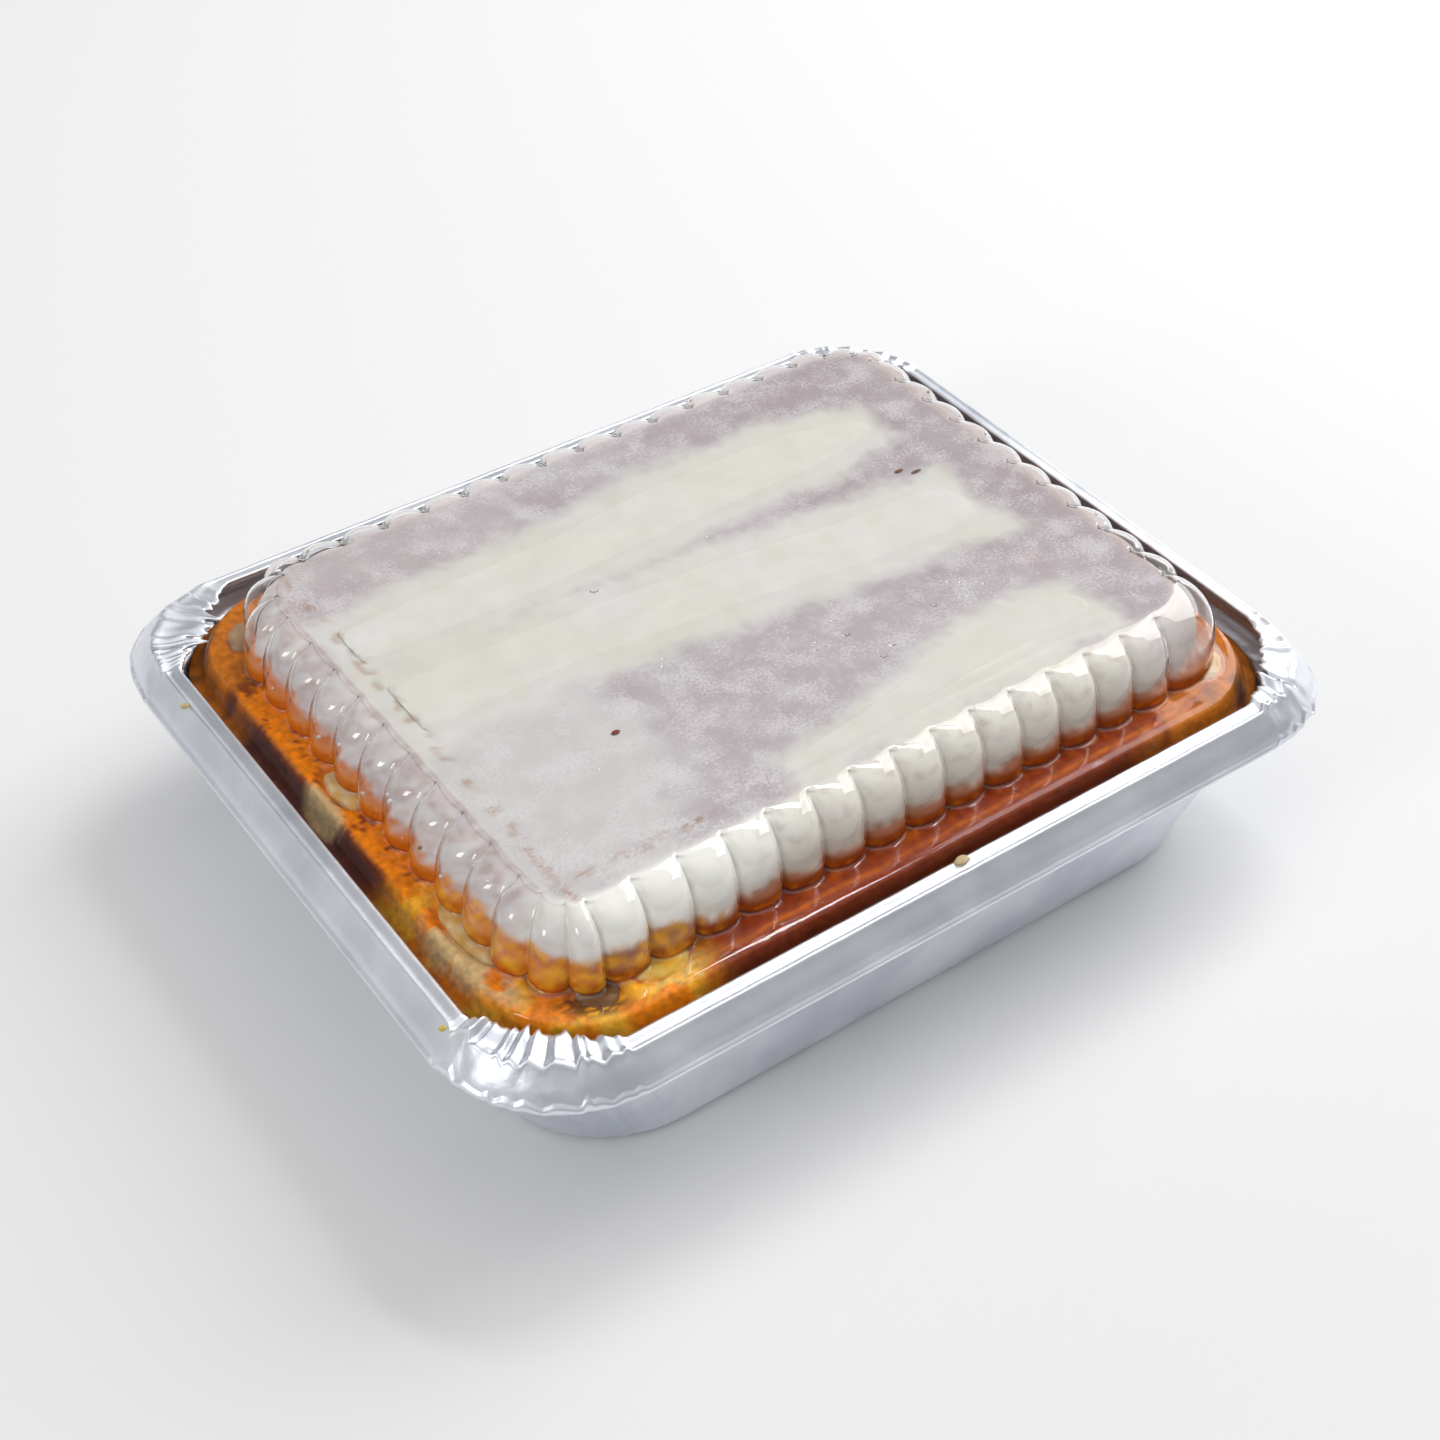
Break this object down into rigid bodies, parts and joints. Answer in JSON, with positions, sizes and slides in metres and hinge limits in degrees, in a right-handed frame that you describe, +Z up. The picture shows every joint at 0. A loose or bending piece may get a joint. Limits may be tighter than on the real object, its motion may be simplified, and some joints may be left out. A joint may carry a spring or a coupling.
{
  "type": "foil tray meal",
  "caption": "Family-size pasta meal in a rectangular foil tray, closed by a clear ribbed lid crimped under the tray's folded rim.",
  "frame": {"origin": "centre of the tray's base, on the surface it rests on", "axes": "+X along the tray's long side, +Y along its short side, +Z up"},
  "size_m": [0.217, 0.177, 0.0613],
  "materials": {
    "foil": "bright crumpled foil",
    "clear_plastic": "clear, slightly fogged inside",
    "sauce": "oily red-brown sauce",
    "cream": "smooth pale cream",
    "melted_cheese": "oily melted cheese",
    "mushroom": "moist dark brown",
    "pasta": "moist pale pasta",
    "pepper": "cooked red-orange pepper"
  },
  "bodies": {
    "root": {"foil_tray": "foil", "clear_lid": "clear_plastic", "sauce": "sauce", "cream_layer": "cream", "cheese_strip_back": "cream", "cheese_strip_middle": "cream", "cheese_strip_front": "cream", "cheese_piece_corner": "melted_cheese", "cheese_piece_front": "melted_cheese", "mushroom_piece": "mushroom", "pasta_piece_front": "pasta", "pasta_piece_left": "pasta", "pasta_piece_right": "pasta", "pasta_piece_side": "pasta", "pepper_piece_left": "pepper"}
  },
  "joints": []
}
